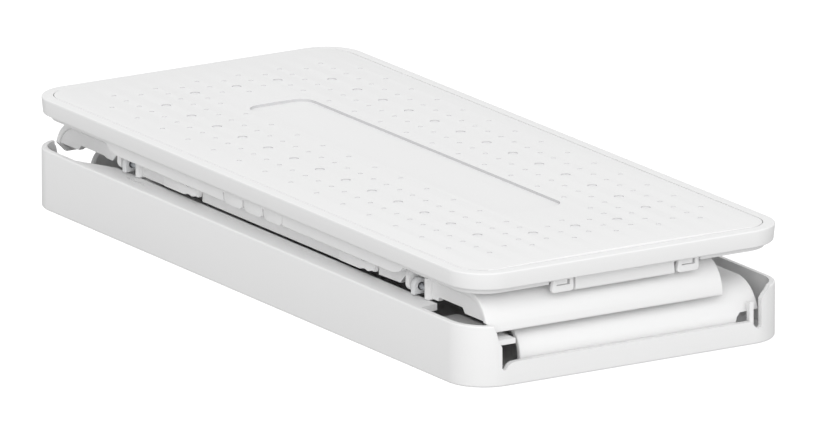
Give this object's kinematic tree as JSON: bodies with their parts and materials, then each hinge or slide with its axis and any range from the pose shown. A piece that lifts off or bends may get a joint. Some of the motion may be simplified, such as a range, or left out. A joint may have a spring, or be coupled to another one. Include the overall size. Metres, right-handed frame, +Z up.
{
  "type": "folding lidded tray",
  "caption": "Low rectangular plastic tray with two end-curled side walls folded flat inside it and a flat dimpled lift-off cover.",
  "frame": {"origin": "centre of the footprint, on the surface that the tray stands on", "axes": "+X along the length, +Y across the width towards the lower wall's hinge, +Z up"},
  "size_m": [0.26, 0.115, 0.0363],
  "materials": {
    "housing": "white moulded plastic, fine matte texture",
    "walls": "white moulded plastic, satin",
    "latches": "white moulded plastic, satin",
    "hinges": "off-white moulded plastic",
    "pins": "drawn steel wire",
    "feet": "grey elastomer"
  },
  "bodies": {
    "base": {"base_shell": "housing", "hinge_ear_upper_left": "hinges", "hinge_ear_upper_right": "hinges", "hinge_ear_lower_left": "hinges", "hinge_ear_lower_right": "hinges", "hinge_pin_upper_left": "pins", "hinge_pin_upper_right": "pins", "hinge_pin_lower_left": "pins", "hinge_pin_lower_right": "pins", "foot_pad_1": "feet", "foot_pad_2": "feet", "foot_pad_3": "feet", "foot_pad_4": "feet"},
    "cover": {"cover_rim": "housing", "cover_panel": "housing", "cover_inner_frame": "housing", "end_hook_1": "latches", "end_hook_2": "latches", "end_hook_3": "latches", "end_hook_4": "latches"},
    "upper_wall": {"side_wall_upper": "walls"},
    "lower_wall": {"side_wall_lower": "walls"},
    "latch_left": {"release_latch_left": "latches"},
    "latch_right": {"release_latch_right": "latches"}
  },
  "joints": [
    {"name": "cover_lift", "type": "slide", "parent": "base", "child": "cover", "axis": [0, 0, 1], "range_m": [0, 0.14]},
    {"name": "upper_wall_hinge", "type": "hinge", "parent": "base", "child": "upper_wall", "pos_m": [0, -0.0483, 0.022], "axis": [1, 0, 0], "range_deg": [0, 90]},
    {"name": "lower_wall_hinge", "type": "hinge", "parent": "base", "child": "lower_wall", "pos_m": [0, 0.0475, 0.0128], "axis": [-1, 0, 0], "range_deg": [0, 1.5]},
    {"name": "latch_left_press", "type": "hinge", "parent": "upper_wall", "child": "latch_left", "pos_m": [-0.0384, -0.0494, 0.0223], "axis": [0, 0, -1], "range_deg": [0, 6], "stiffness_Nm_per_rad": 0.02},
    {"name": "latch_right_press", "type": "hinge", "parent": "upper_wall", "child": "latch_right", "pos_m": [0.0642, -0.0494, 0.0223], "axis": [0, 0, -1], "range_deg": [0, 6], "stiffness_Nm_per_rad": 0.02}
  ],
  "couplings": [
    {"joint": "upper_wall_hinge", "follows": "cover_lift", "rad_per_m": 11.22}
  ]
}
